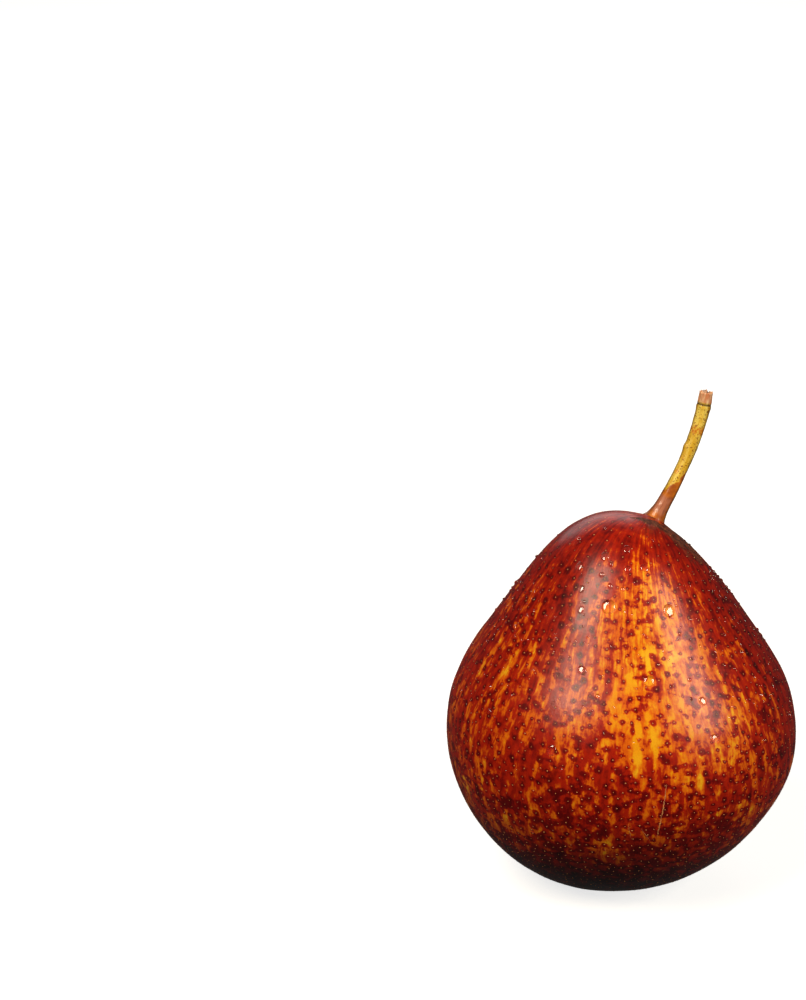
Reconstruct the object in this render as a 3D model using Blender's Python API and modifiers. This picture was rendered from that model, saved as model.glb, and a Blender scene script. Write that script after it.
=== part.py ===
"""A small blushed pear that stands upright on the flat ring round its calyx.

Metres, +Z up. The fruit rests on z = 0, and the whole pear's box is centred on the Z axis.
"""

import math

import bmesh
import bpy
from mathutils import Vector

# Fruit: heights are measured from the resting plane.
FRUIT_HEIGHT = 0.0717
BELLY_RADIUS = 0.0330
BELLY_HEIGHT = 0.0280
WAIST_RADIUS = 0.0236
WAIST_DEPTH = 0.0206  # below the crown
WAIST_SLOPE = 56.5  # degrees below the horizontal
SHOULDER_RADIUS = 0.0155
SHOULDER_DEPTH = 0.0092  # below the crown
SHOULDER_SLOPE = 51.2
CROWN_LEAN = Vector((-0.0016, 0.0, 0.0))  # how far the crown stands off the belly's axis
BASE_LEAN = Vector((-0.0023, 0.0, 0.0))  # how far the resting ring stands off it

# Flat resting ring, and the basin inside it that holds the calyx.
REST_OUTER_RADIUS = 0.0082
REST_INNER_RADIUS = 0.0058
BASIN_DEPTH = 0.0046
BASIN_WALL_SLOPE = 58.0

# Smooth runs of the outline: handle at the start and at the end, as shares of the run's chord, and points.
CROWN_RUN = (0.45, 0.28, 9)
NECK_RUN = (0.46, 0.31, 6)
FLANK_RUN = (0.31, 0.44, 8)
UNDER_RUN = (0.35, 0.29, 14)
BASIN_RUN = (0.45, 0.45, 7)

# The flesh is not quite round: (waves round the fruit, share of the radius, turn in degrees).
LOBES = ((2, 0.0040, 20.0), (3, 0.0035, 75.0), (5, 0.0045, 10.0))

# Stem: it leaves the crown off its axis, leans over and straightens towards its tip.
STEM_OFFSET = Vector((0.0070, 0.0060, 0.0))  # from the crown's axis to the stem's foot
STEM_RISE = Vector((0.0094, 0.0052, 0.0240))  # from the foot to the tip
STEM_LEAVING = Vector((0.55, 0.34, 0.36))  # the foot's handle, as shares of the rise
STEM_ARRIVING = Vector((0.07, 0.14, 0.30))  # the tip's handle, as shares of the rise
STEM_BURIED = 0.0030
STEM_BURIED_TAPER = 0.15  # of the foot's radius, lost over the buried end
STEM_FOOT_RADIUS = 0.0020
STEM_NECK_RADIUS = 0.00105
STEM_TIP_RADIUS = 0.0012
STEM_FLARE = 0.0030  # height over which the foot narrows
SOCKET_CLEARANCE = 0.0003
STREAK_REACH = 0.0240  # the flesh is drawn towards the stem inside this radius
HEIGHT_ROUNDS = 4  # the crown leans more the higher it is, so its height is found in rounds

# Calyx: five dried sepals round a tuft of dried stamens.
SEPAL_COUNT = 5
SEPAL_TIP_INSET = 0.0016  # from the basin's mouth to the tip
SEPAL_HALF_WIDTH = 0.0011
SEPAL_ROOT_SHARE = 0.65  # of the half width, at the root
SEPAL_TIP_SHARE = 0.15
SEPAL_BULGE_SHARE = 1.4
SEPAL_CUP_SHARE = 0.4  # of the thickness, that the middle hangs below the edges
SEPAL_THICKNESS = 0.0005
SEPAL_DROOP = 0.0002
TUFT_RADIUS = 0.0010
TUFT_LENGTH = 0.0026
TUFT_RIBS = 8
TUFT_RIB_SHARE = 0.18  # of the radius, that the ribs stand out
CALYX_CLEARANCE = 0.0003

FRUIT_STEPS = 60
STEM_POINTS = 26
STEPS_PER_RIB = 4
MERGE_DISTANCE = 0.00001

SKIN_COLOUR = (0.50, 0.07, 0.02)
STEM_COLOUR = (0.55, 0.38, 0.10)
SEPAL_COLOUR = (0.09, 0.05, 0.03)
TUFT_COLOUR = (0.14, 0.08, 0.04)


# Scene, collections and materials


def clear_scene():
    for obj in list(bpy.data.objects):
        bpy.data.objects.remove(obj)


def new_collection(name, hidden=False):
    collection = bpy.data.collections.new(name)
    collection.hide_render = hidden
    bpy.context.scene.collection.children.link(collection)
    return collection


def new_material(name, colour, roughness):
    material = bpy.data.materials.new(name)
    material.use_nodes = True
    shader = material.node_tree.nodes["Principled BSDF"]
    shader.inputs["Base Color"].default_value = (*colour, 1.0)
    shader.inputs["Roughness"].default_value = roughness
    shader.inputs["Metallic"].default_value = 0.0
    return material


def new_object(name, data, collection, material=None):
    obj = bpy.data.objects.new(name, data)
    collection.objects.link(obj)
    if material and not data.materials:
        data.materials.append(material)
    return obj


def evaluated_mesh(obj):
    """The object's mesh with its modifiers or bevel applied."""
    bpy.context.view_layer.update()
    graph = bpy.context.evaluated_depsgraph_get()
    return bpy.data.meshes.new_from_object(obj.evaluated_get(graph))


# Outlines: (radius, height) points, from the crown down the outside to the calyx


def bezier(start, start_handle, end_handle, end, steps):
    """Points of a cubic Bezier, without its first one."""
    points = []
    for i in range(1, steps + 1):
        t = i / steps
        u = 1 - t
        near = u**3 * start + 3 * u * u * t * start_handle
        far = 3 * u * t * t * end_handle + t**3 * end
        points.append(near + far)
    return points


def run(a, b, slope_a, slope_b, handles):
    """A smooth run from a to b, with its slopes in degrees below the horizontal."""
    share_a, share_b, steps = handles
    chord = (b - a).length
    out = Vector((math.cos(math.radians(slope_a)), -math.sin(math.radians(slope_a))))
    back = Vector((math.cos(math.radians(slope_b)), -math.sin(math.radians(slope_b))))
    return bezier(a, a + out * chord * share_a, b - back * chord * share_b, b, steps)


def upper_outline():
    """From the crown to the belly. The radius grows all the way."""
    crown = Vector((0.0, FRUIT_HEIGHT))
    shoulder = Vector((SHOULDER_RADIUS, FRUIT_HEIGHT - SHOULDER_DEPTH))
    waist = Vector((WAIST_RADIUS, FRUIT_HEIGHT - WAIST_DEPTH))
    belly = Vector((BELLY_RADIUS, BELLY_HEIGHT))
    points = [crown]
    points += run(crown, shoulder, 0, SHOULDER_SLOPE, CROWN_RUN)
    points += run(shoulder, waist, SHOULDER_SLOPE, WAIST_SLOPE, NECK_RUN)
    points += run(waist, belly, WAIST_SLOPE, 90, FLANK_RUN)
    return points


def lower_outline():
    """From below the belly to the outer edge of the resting ring."""
    belly = Vector((BELLY_RADIUS, BELLY_HEIGHT))
    edge = Vector((REST_OUTER_RADIUS, 0.0))
    return run(belly, edge, 90, 180, UNDER_RUN)


def basin_outline():
    """From the inner edge of the resting ring up to the middle of the basin."""
    edge = Vector((REST_INNER_RADIUS, 0.0))
    middle = Vector((0.0, BASIN_DEPTH))
    return [edge] + run(edge, middle, 180 + BASIN_WALL_SLOPE, 180, BASIN_RUN)


def height_at(outline, radius):
    """The height of an outline at a radius. The radius grows or falls all along the outline."""
    points = sorted(outline, key=lambda point: point.x)
    for a, b in zip(points, points[1:]):
        if radius <= b.x:
            share = (radius - a.x) / (b.x - a.x)
            return a.y + (b.y - a.y) * share
    return points[-1].y


def turned_mesh(name, outline, steps, collection):
    """The outline turned round the Z axis, as a closed mesh."""
    profile = bpy.data.meshes.new(name + "_profile")
    edges = [(i, i + 1) for i in range(len(outline) - 1)]
    profile.from_pydata([(point.x, 0, point.y) for point in outline], edges, [])
    turned = new_object(name + "_turned", profile, collection)
    screw = turned.modifiers.new("turn", "SCREW")
    screw.steps = steps
    screw.render_steps = steps
    screw.use_merge_vertices = True
    screw.merge_threshold = MERGE_DISTANCE
    mesh = evaluated_mesh(turned)
    bpy.data.objects.remove(turned)
    return mesh


# Flesh: how the turned shape is bent into a grown one


def lean_at(height):
    """How far the fruit's axis stands off the belly's axis at a height."""
    if height > BELLY_HEIGHT:
        return CROWN_LEAN * ((height - BELLY_HEIGHT) / (FRUIT_HEIGHT - BELLY_HEIGHT)) ** 2
    return BASE_LEAN * ((BELLY_HEIGHT - height) / BELLY_HEIGHT) ** 2


def lobe_factor(angle, radius):
    """The lobes fade out towards the axis, so the crown and the calyx stay smooth."""
    fade = min(radius / REST_OUTER_RADIUS, 1.0)
    waves = sum(share * math.cos(count * (angle - math.radians(turn))) for count, share, turn in LOBES)
    return 1 + fade * waves


def grown(point, crown_outline):
    """The grown place of a point of the turned fruit."""
    radius = math.hypot(point.x, point.y)
    angle = math.atan2(point.y, point.x)
    across = Vector((math.cos(angle), math.sin(angle), 0.0)) * radius * lobe_factor(angle, radius)
    if radius < REST_INNER_RADIUS * 1.001 and point.z < BELLY_HEIGHT:
        return across + BASE_LEAN + Vector((0, 0, point.z))
    if point.z < BELLY_HEIGHT or radius > STREAK_REACH:
        return across + lean_at(point.z) + Vector((0, 0, point.z))
    pull = (1 - radius / STREAK_REACH) ** 2
    height = point.z
    place = across + lean_at(height) + STEM_OFFSET * pull
    for _ in range(HEIGHT_ROUNDS):
        flat = place - lean_at(height)
        lobes = lobe_factor(math.atan2(flat.y, flat.x), flat.length)
        height = height_at(crown_outline, flat.length / lobes)
    return place + Vector((0, 0, height))


def make_fruit(collection, material):
    crown_outline = upper_outline()
    outline = crown_outline + lower_outline() + basin_outline()
    mesh = turned_mesh("fruit", outline, FRUIT_STEPS, collection)
    for vertex in mesh.vertices:
        vertex.co = grown(vertex.co, crown_outline)
    mesh.shade_smooth()
    return new_object("fruit", mesh, collection, material)


# Stem


def stem_foot():
    """Where the stem's axis crosses the skin."""
    place = CROWN_LEAN + STEM_OFFSET
    place.z = height_at(upper_outline(), STEM_OFFSET.length)
    return place


def stem_line():
    """The stem's centreline, from its buried end to its tip."""
    foot = stem_foot()
    tip = foot + STEM_RISE
    leaving = Vector(a * b for a, b in zip(STEM_RISE, STEM_LEAVING))
    arriving = Vector(a * b for a, b in zip(STEM_RISE, STEM_ARRIVING))
    above = bezier(foot, foot + leaving, tip - arriving, tip, STEM_POINTS)
    inward = -leaving.normalized() * STEM_BURIED
    return [foot + inward, foot + inward / 2, foot] + above


def stem_radius(distance):
    """The stem's radius at a distance above the skin: a flared foot, a slim neck and a thicker tip."""
    if distance < 0:
        return STEM_FOOT_RADIUS * (1 + STEM_BURIED_TAPER * distance / STEM_BURIED)
    flare = (STEM_FOOT_RADIUS - STEM_NECK_RADIUS) * math.exp(-distance / STEM_FLARE)
    share = min(distance / STEM_RISE.z, 1.0)
    return STEM_NECK_RADIUS + flare + (STEM_TIP_RADIUS - STEM_NECK_RADIUS) * share**2


def tube(name, points, radii, collection):
    """A round tube along points, as a curve with filled caps."""
    curve = bpy.data.curves.new(name, "CURVE")
    curve.dimensions = "3D"
    curve.bevel_depth = 1.0
    curve.bevel_resolution = 4
    curve.use_fill_caps = True
    spline = curve.splines.new("POLY")
    spline.points.add(len(points) - 1)
    for control, point, radius in zip(spline.points, points, radii):
        control.co = (*point, 1.0)
        control.radius = radius
    spline.use_smooth = True
    return new_object(name, curve, collection)


def make_stem(collection, material):
    points = stem_line()
    distances = [0.0]
    for a, b in zip(points, points[1:]):
        distances.append(distances[-1] + (b - a).length)
    radii = [stem_radius(distance - STEM_BURIED) for distance in distances]
    stem = tube("stem", points, radii, collection)
    stem.data.materials.append(material)
    return stem


def make_socket_cutter(collection):
    """The buried end of the stem, larger all round by the clearance."""
    line = stem_line()
    bottom, foot = line[0], line[2]
    inward = (bottom - foot).normalized()
    above = foot - inward * STEM_FLARE
    points = [bottom + inward * SOCKET_CLEARANCE, foot, above]
    buried_end = stem_radius(-STEM_BURIED) + SOCKET_CLEARANCE
    mouth = STEM_FOOT_RADIUS + SOCKET_CLEARANCE
    curve = tube("socket_curve", points, [buried_end, mouth, mouth], collection)
    mesh = evaluated_mesh(curve)
    welding = bmesh.new()
    welding.from_mesh(mesh)
    bmesh.ops.remove_doubles(welding, verts=welding.verts, dist=MERGE_DISTANCE)
    bmesh.ops.recalc_face_normals(welding, faces=welding.faces)
    welding.to_mesh(mesh)
    welding.free()
    cutter = new_object("socket_cutter", mesh, collection)
    cutter.matrix_world = curve.matrix_world
    bpy.data.objects.remove(curve)
    cutter.hide_render = True
    cutter.display_type = "WIRE"
    return cutter


def cut(piece, cutter):
    boolean = piece.modifiers.new("cut_" + cutter.name, "BOOLEAN")
    boolean.operation = "DIFFERENCE"
    boolean.solver = "EXACT"
    boolean.object = cutter


# Calyx


def basin_height(radius):
    return height_at(basin_outline(), radius)


def sepal_mesh(material):
    """One dried sepal along +X from the calyx axis: a cupped, pointed leaf just under the basin's wall."""
    rows, columns = 9, 5
    start = TUFT_RADIUS * (1 + TUFT_RIB_SHARE) + CALYX_CLEARANCE
    end = REST_INNER_RADIUS - SEPAL_TIP_INSET
    vertices = []
    for i in range(rows):
        along = i / (rows - 1)
        radius = start + (end - start) * along
        share = SEPAL_ROOT_SHARE * (1 - along) + SEPAL_TIP_SHARE * along
        share += SEPAL_BULGE_SHARE * along * (1 - along)
        top = basin_height(radius + SEPAL_THICKNESS) - CALYX_CLEARANCE - SEPAL_THICKNESS
        for j in range(columns):
            across = 2 * j / (columns - 1) - 1
            drop = SEPAL_DROOP * along**2 + SEPAL_THICKNESS * SEPAL_CUP_SHARE * (1 - across**2)
            vertices.append((radius, SEPAL_HALF_WIDTH * share * across, top - drop))
    faces = []
    for i in range(rows - 1):
        for j in range(columns - 1):
            a = i * columns + j
            faces.append((a, a + 1, a + columns + 1, a + columns))
    mesh = bpy.data.meshes.new("sepal")
    mesh.from_pydata(vertices, [], faces)
    mesh.materials.append(material)
    return mesh


def make_sepals(collection, material, parent):
    mesh = sepal_mesh(material)
    for i in range(SEPAL_COUNT):
        sepal = new_object(f"sepal_{i + 1}", mesh, collection)
        sepal.location = BASE_LEAN
        sepal.rotation_euler.z = math.tau * (i + 0.3) / SEPAL_COUNT
        sepal.parent = parent
        solidify = sepal.modifiers.new("thickness", "SOLIDIFY")
        solidify.thickness = SEPAL_THICKNESS
        solidify.offset = 0.0


def make_tuft(collection, material):
    """The dried stamens, as one ribbed tuft that hangs from the middle of the basin."""
    top = BASIN_DEPTH - 2 * CALYX_CLEARANCE
    outline = [
        Vector((0.0, top)),
        Vector((TUFT_RADIUS * 0.7, top - TUFT_LENGTH * 0.06)),
        Vector((TUFT_RADIUS * 0.8, top - TUFT_LENGTH * 0.4)),
        Vector((TUFT_RADIUS, top - TUFT_LENGTH * 0.8)),
        Vector((TUFT_RADIUS * 0.75, top - TUFT_LENGTH)),
        Vector((0.0, top - TUFT_LENGTH * 0.9)),
    ]
    mesh = turned_mesh("tuft", outline, STEPS_PER_RIB * TUFT_RIBS, collection)
    for vertex in mesh.vertices:
        angle = math.atan2(vertex.co.y, vertex.co.x)
        rib = 1 + TUFT_RIB_SHARE * math.cos(TUFT_RIBS * angle)
        vertex.co.x *= rib
        vertex.co.y *= rib
    mesh.shade_smooth()
    tuft = new_object("stamen_tuft", mesh, collection, material)
    tuft.location = BASE_LEAN
    return tuft


# The whole pear


def centre_on_axis(pieces, parent):
    """Moves the pear so that the middle of its box is on the Z axis."""
    bpy.context.view_layer.update()
    graph = bpy.context.evaluated_depsgraph_get()
    corners = []
    for piece in pieces:
        evaluated = piece.evaluated_get(graph)
        corners += [evaluated.matrix_world @ Vector(corner) for corner in evaluated.bound_box]
    for axis in range(2):
        values = [corner[axis] for corner in corners]
        parent.location[axis] = -(min(values) + max(values)) / 2


def main():
    clear_scene()
    pear = new_collection("pear")
    cutters = new_collection("pear_cutters", hidden=True)
    placing = bpy.data.objects.new("pear_placing", None)
    pear.objects.link(placing)
    fruit = make_fruit(pear, new_material("skin", SKIN_COLOUR, 0.32))
    stem = make_stem(pear, new_material("stem_bark", STEM_COLOUR, 0.60))
    socket = make_socket_cutter(cutters)
    tuft = make_tuft(pear, new_material("dried_stamens", TUFT_COLOUR, 0.90))
    cut(fruit, socket)
    make_sepals(pear, new_material("dried_sepal", SEPAL_COLOUR, 0.85), placing)
    for piece in (fruit, stem, socket, tuft):
        piece.parent = placing
    centre_on_axis((fruit, stem), placing)


main()
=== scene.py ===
"""A small blushed pear, wet with water drops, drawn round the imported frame.

Metres, +Z up. The pear stands on z = 0. A turn is an angle round the fruit in degrees: 0 faces the
camera at -Y, 90 is at +X and 180 is at the back.
"""

import math

import bpy
import numpy as np
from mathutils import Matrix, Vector, noise
from mathutils.bvhtree import BVHTree
from mathutils.kdtree import KDTree


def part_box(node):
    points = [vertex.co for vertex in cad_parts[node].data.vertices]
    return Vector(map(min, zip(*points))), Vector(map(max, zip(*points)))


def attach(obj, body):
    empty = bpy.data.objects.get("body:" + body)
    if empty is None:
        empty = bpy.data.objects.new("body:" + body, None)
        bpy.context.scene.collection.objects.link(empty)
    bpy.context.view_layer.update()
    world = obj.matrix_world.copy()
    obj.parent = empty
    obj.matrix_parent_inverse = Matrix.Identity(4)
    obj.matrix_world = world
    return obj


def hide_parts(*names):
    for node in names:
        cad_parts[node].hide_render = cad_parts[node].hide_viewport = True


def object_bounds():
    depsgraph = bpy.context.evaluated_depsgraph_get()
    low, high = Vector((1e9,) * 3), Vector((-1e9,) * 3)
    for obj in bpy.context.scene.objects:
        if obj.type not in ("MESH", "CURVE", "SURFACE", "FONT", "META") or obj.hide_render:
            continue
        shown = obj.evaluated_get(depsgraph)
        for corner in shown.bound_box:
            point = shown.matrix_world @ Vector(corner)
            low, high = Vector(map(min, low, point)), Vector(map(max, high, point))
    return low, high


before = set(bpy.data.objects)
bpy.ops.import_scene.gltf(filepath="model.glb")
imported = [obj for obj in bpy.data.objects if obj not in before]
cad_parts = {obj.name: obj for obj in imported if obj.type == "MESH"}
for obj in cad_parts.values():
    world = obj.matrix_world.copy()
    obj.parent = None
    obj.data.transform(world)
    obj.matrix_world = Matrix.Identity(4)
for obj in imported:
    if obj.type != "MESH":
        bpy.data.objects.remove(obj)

CAD_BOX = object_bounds()
FRUIT_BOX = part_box("fruit")
MM = 0.001

# The fruit's outline, as in the CAD solid.
FRUIT_HEIGHT = 0.0717
BELLY_RADIUS = 0.0330
BELLY_HEIGHT = 0.0280
WAIST_RADIUS = 0.0236
WAIST_DEPTH = 0.0206
WAIST_SLOPE = 56.5
SHOULDER_RADIUS = 0.0155
SHOULDER_DEPTH = 0.0092
SHOULDER_SLOPE = 51.2
CROWN_LEAN = np.array((-0.0016, 0.0, 0.0))
BASE_LEAN = np.array((-0.0023, 0.0, 0.0))
REST_OUTER_RADIUS = 0.0082
REST_INNER_RADIUS = 0.0058
BASIN_DEPTH = 0.0046
BASIN_WALL_SLOPE = 58.0
CROWN_HANDLES = (0.45, 0.28)
NECK_HANDLES = (0.46, 0.31)
FLANK_HANDLES = (0.31, 0.44)
UNDER_HANDLES = (0.35, 0.29)
BASIN_HANDLES = (0.45, 0.45)
LOBES = ((2, 0.0040, 20.0), (3, 0.0035, 75.0), (5, 0.0045, 10.0))
RING_STEPS = 40

# The skin's lines are drawn towards the stem inside STREAK_REACH, and the end of that pull is softened.
STREAK_REACH = 0.0240
PULL_END = STREAK_REACH + 0.0045
PULL_SPREAD = 0.004
PULL_SAMPLES = 33
PULL_WIDTH = 0.0022
PULL_FADE = (0.006, 0.012)

# The outline's bends are evened out, except near its two ends. The fades are lengths along it.
SOFTEN_STEP = 0.0001
SOFTEN_WIDTH = 0.0020
SOFTEN_CROWN_FADE = (0.006, 0.010)
SOFTEN_BELLY_FADE = (0.001, 0.006)
SOFTEN_BELLY_KEPT = 0.005

# The stem's line and thickness, as in the CAD solid.
STEM_OFFSET = np.array((0.0070, 0.0060, 0.0))
STEM_RISE = np.array((0.0094, 0.0052, 0.0240))
STEM_LEAVING = np.array((0.55, 0.34, 0.36))
STEM_ARRIVING = np.array((0.07, 0.14, 0.30))
STEM_BURIED = 0.0030
STEM_FOOT_RADIUS = 0.0020
STEM_NECK_RADIUS = 0.00105
STEM_TIP_RADIUS = 0.0012
STEM_FLARE = 0.0030

# Fine skin. Rows of vertices crowd towards the stem's foot and the calyx: (extra share, reach).
ROWS = 240
COLUMNS = 400
RUN_STEPS = 300
FOOT_CROWDING = (1.6, 0.0035)
CALYX_CROWDING = (1.0, 0.005)
SKIN_INSET = 0.00008  # leaves room in the CAD box for what stands on the skin
LUMPS = ((0.00016, 0.0120, 3.1), (0.00005, 0.0040, 7.7))  # (height, size, seed)
SCAB_LUMPS = (0.00009, 0.0011, 5.3)
PUCKERS = 11
PUCKER_DEPTH = 0.00035
PUCKER_RADIUS = 0.0060
PUCKER_REACH = 0.0030
COLLAR_LIFT = 0.00055
COLLAR_REACH = 0.0027

# Where the skin is golden, orange, greener or deeper red: the turn in the middle of each patch.
WINDOW_TURN = 11
LOW_TURN = 30
FLANK_TURN = -62
BACK_TURN = 178
DEEP_TURN = 84
RUSSET_TURN = 94

# Redness at which each red starts and is full, and its colour on the screen.
REDS = (
    (0.08, 0.44, (232, 104, 5)),
    (0.40, 0.68, (182, 32, 4)),
    (0.68, 1.24, (120, 7, 6)),
    (1.20, 1.80, (60, 3, 4)),
)

# Lenticels: their spacing in mm at heights in metres, and where there are none.
LENTICEL_TRIES = 45000
LENTICEL_HEIGHTS = (0.012, 0.024, 0.040, 0.062, 0.070)
LENTICEL_SPACINGS = (1.25, 1.5, 1.8, 1.75, 2.4)
LENTICEL_CELL = 0.0026  # at least the widest spacing
LENTICEL_SIDES = 7
LENTICEL_SINK = 0.00003
LOWEST_LENTICEL = 0.0004
STEM_CLEARANCE = 0.0042
CALYX_CLEARANCE = 0.0085
UNDERSIDE_TOP = 0.01
HALO_REACH = 0.0024
NO_LENTICEL = 0.01  # the gap stored where no lenticel is near

# Stem detail. Heights are lengths along the stem above the skin.
STEM_ROWS = 190
STEM_BURIED_ROWS = 8
STEM_SIDES = 48
STEM_TORN = 0.0007  # the ragged end starts this far below the tip
STEM_FIBRES = 7
FIBRE_RADIUS = 0.00017
LIP_HEIGHT = 0.00045  # of the rim where the stem meets the skin
LIP_REACH = 0.0006
BUD_PLACE = 0.0150
BUD_HEIGHT = 0.00022
SCAR_BELOW_TIP = 0.0022
TORN_BELOW_TIP = 0.0021

STAMEN_COUNT = 19
GOLDEN_SHARE = 0.381966  # of a turn from one stamen to the next

# Drops one sees first: (turn, height in mm, radius in mm).
MAIN_DROPS = (
    (-15, 61, 1.35), (-26, 68, 0.85), (-5, 69, 0.75), (-44, 66, 0.75), (-48, 71, 0.45), (-65, 69, 0.45),
    (-4, 66.5, 0.65), (11, 66.5, 0.75), (2, 64.5, 0.5), (-24, 65.5, 0.55), (-16, 64, 0.5), (-35, 63, 0.6),
    (-31, 60, 0.6), (22, 60, 1.15), (-23, 51, 0.8), (6, 50, 1.05), (27, 46, 0.75), (28, 40, 0.85),
    (-28, 38, 0.9), (-56, 40.5, 0.5), (-34, 21, 0.4),
)
DROP_COUNT = 420
EDGE_DROP_COUNT = 26
DROP_SINK = 0.00012
DROP_GAP = 1.3  # drops stand at least this many times their radii apart
FINE_DROP = 0.0004  # the radius above which a drop has more sides
FLAT_DROP = 0.00055  # the radius above which a drop is flat-topped
FLAT_DROP_HEIGHT = 0.40  # as a share of its radius
FLAT_DROP_CURVE = 0.72

# Healed scratches: (turn, height in mm) at each end, and thickness in mm.
SCRATCHES = (((10, 34), (7.5, 22.5), 0.11), ((2, 25), (6, 21.5), 0.035), ((-2, 26), (-0.5, 22), 0.035))
SCRATCH_STEPS = 30

# Stage, camera and light
LAMP_DISTANCE = 0.9
LAMP_AIM = (0, 0, 0.035)
FLOOR_HALF = 6.0
FLOOR_LEVEL = -0.00002
LENS = 94
CAMERA_PLACE = (-0.0413, -0.44365, 0.2543)
CAMERA_TILT = 68  # degrees up from straight down


# Outline and grown shape


def srgb(red, green, blue):
    """A colour given as 0 to 255 on the screen, as linear light."""
    scaled = [value / 255 for value in (red, green, blue)]
    return tuple(v / 12.92 if v <= 0.04045 else ((v + 0.055) / 1.055) ** 2.4 for v in scaled)


def smooth_step(low, high, value):
    """A smooth step from 0 at low to 1 at high, which may be the smaller of the two."""
    share = np.clip((value - low) / (high - low), 0.0, 1.0)
    return share * share * (3 - 2 * share)


def hill(values, width):
    """A smooth hill, 1 high where the values are 0."""
    return np.exp(-((values / width) ** 2))


def run(start, end, start_slope, end_slope, handles):
    """A smooth run of the outline without its first point. Slopes are degrees below the horizontal."""
    start = np.array(start)
    end = np.array(end)
    chord = np.linalg.norm(end - start)
    leaving = np.array((math.cos(math.radians(start_slope)), -math.sin(math.radians(start_slope))))
    arriving = np.array((math.cos(math.radians(end_slope)), -math.sin(math.radians(end_slope))))
    near = start + leaving * chord * handles[0]
    far = end - arriving * chord * handles[1]
    t = (np.arange(1, RUN_STEPS + 1) / RUN_STEPS)[:, None]
    u = 1 - t
    return u**3 * start + 3 * u * u * t * near + 3 * u * t * t * far + t**3 * end


def softened(outline):
    """The outline in even steps, its bends evened out between the crown and the belly."""
    steps = np.linalg.norm(np.diff(outline, axis=0), axis=1)
    along = np.concatenate([[0], np.cumsum(steps)])
    even = np.arange(0, along[-1], SOFTEN_STEP)
    points = np.stack([np.interp(even, along, outline[:, axis]) for axis in range(2)], 1)
    reach = int(3 * SOFTEN_WIDTH / SOFTEN_STEP)
    kernel = hill(np.arange(-reach, reach + 1) * SOFTEN_STEP, 1.4 * SOFTEN_WIDTH)
    kernel /= kernel.sum()
    smooth = np.stack([np.convolve(points[:, axis], kernel, "same") for axis in range(2)], 1)
    share = smooth_step(*SOFTEN_CROWN_FADE, even)
    share = share * smooth_step(*SOFTEN_BELLY_FADE, along[-1] - SOFTEN_BELLY_KEPT - even)
    points += (smooth - points) * share[:, None]
    return np.vstack([points, outline[-1:]])


def upper_outline():
    """(radius, height) points from the crown to the belly."""
    crown = (0.0, FRUIT_HEIGHT)
    shoulder = (SHOULDER_RADIUS, FRUIT_HEIGHT - SHOULDER_DEPTH)
    waist = (WAIST_RADIUS, FRUIT_HEIGHT - WAIST_DEPTH)
    belly = (BELLY_RADIUS, BELLY_HEIGHT)
    return softened(np.vstack([
        np.array([crown]),
        run(crown, shoulder, 0, SHOULDER_SLOPE, CROWN_HANDLES),
        run(shoulder, waist, SHOULDER_SLOPE, WAIST_SLOPE, NECK_HANDLES),
        run(waist, belly, WAIST_SLOPE, 90, FLANK_HANDLES),
    ]))


def lower_outline():
    """(radius, height) points from the belly, over the resting ring, to the middle of the basin."""
    outer = (REST_OUTER_RADIUS, 0.0)
    inner = (REST_INNER_RADIUS, 0.0)
    ring = np.linspace(outer, inner, RING_STEPS)[1:]
    under = run((BELLY_RADIUS, BELLY_HEIGHT), outer, 90, 180, UNDER_HANDLES)
    basin = run(inner, (0.0, BASIN_DEPTH), 180 + BASIN_WALL_SLOPE, 180, BASIN_HANDLES)
    return np.vstack([under, ring, basin])


def crown_height(radius):
    return np.interp(radius, UPPER[:, 0], UPPER[:, 1])


def stem_pull(radius):
    """How much of the stem's offset the skin follows; its end is evened out, so that no crease shows."""
    offsets = np.linspace(-PULL_SPREAD, PULL_SPREAD, PULL_SAMPLES)
    weights = hill(offsets, PULL_WIDTH)
    spread = np.clip(1 - (radius[:, None] + offsets) / STREAK_REACH, 0, 1) ** 2
    smooth = (spread * weights).sum(1) / weights.sum()
    plain = np.clip(1 - radius / STREAK_REACH, 0, 1) ** 2
    return plain + (smooth - plain) * smooth_step(*PULL_FADE, radius)


def lean_at(height):
    """How far the fruit's axis stands off the belly's axis at each height."""
    above = np.clip((height - BELLY_HEIGHT) / (FRUIT_HEIGHT - BELLY_HEIGHT), 0, None) ** 2
    below = np.clip((BELLY_HEIGHT - height) / BELLY_HEIGHT, 0, None) ** 2
    return above[:, None] * CROWN_LEAN + below[:, None] * BASE_LEAN


def lobe_factor(angle, radius):
    """The lobes fade out towards the axis, so the crown and the calyx stay smooth."""
    waves = sum(share * np.cos(count * (angle - math.radians(turn))) for count, share, turn in LOBES)
    return 1 + np.minimum(radius / REST_OUTER_RADIUS, 1.0) * waves


def grown(radius, angle, height):
    """The places of points of the turned outline on the grown fruit."""
    wide = radius * lobe_factor(angle, radius)
    place = np.stack([np.cos(angle) * wide, np.sin(angle) * wide, height], 1)
    in_basin = (radius < REST_INNER_RADIUS * 1.001) & (height < BELLY_HEIGHT)
    on_crown = (radius <= PULL_END) & (height >= BELLY_HEIGHT)
    pull = np.where(on_crown, stem_pull(radius), 0)
    place[:, :2] += (pull[:, None] * STEM_OFFSET)[:, :2]
    across = place.copy()
    reach = np.hypot(across[:, 0], across[:, 1])
    turned = reach / lobe_factor(np.arctan2(across[:, 1], across[:, 0]), reach)
    level = np.where(on_crown, crown_height(turned), height)
    place = across + np.where(in_basin[:, None], BASE_LEAN, lean_at(level))
    place[:, 2] = level
    return place


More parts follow.
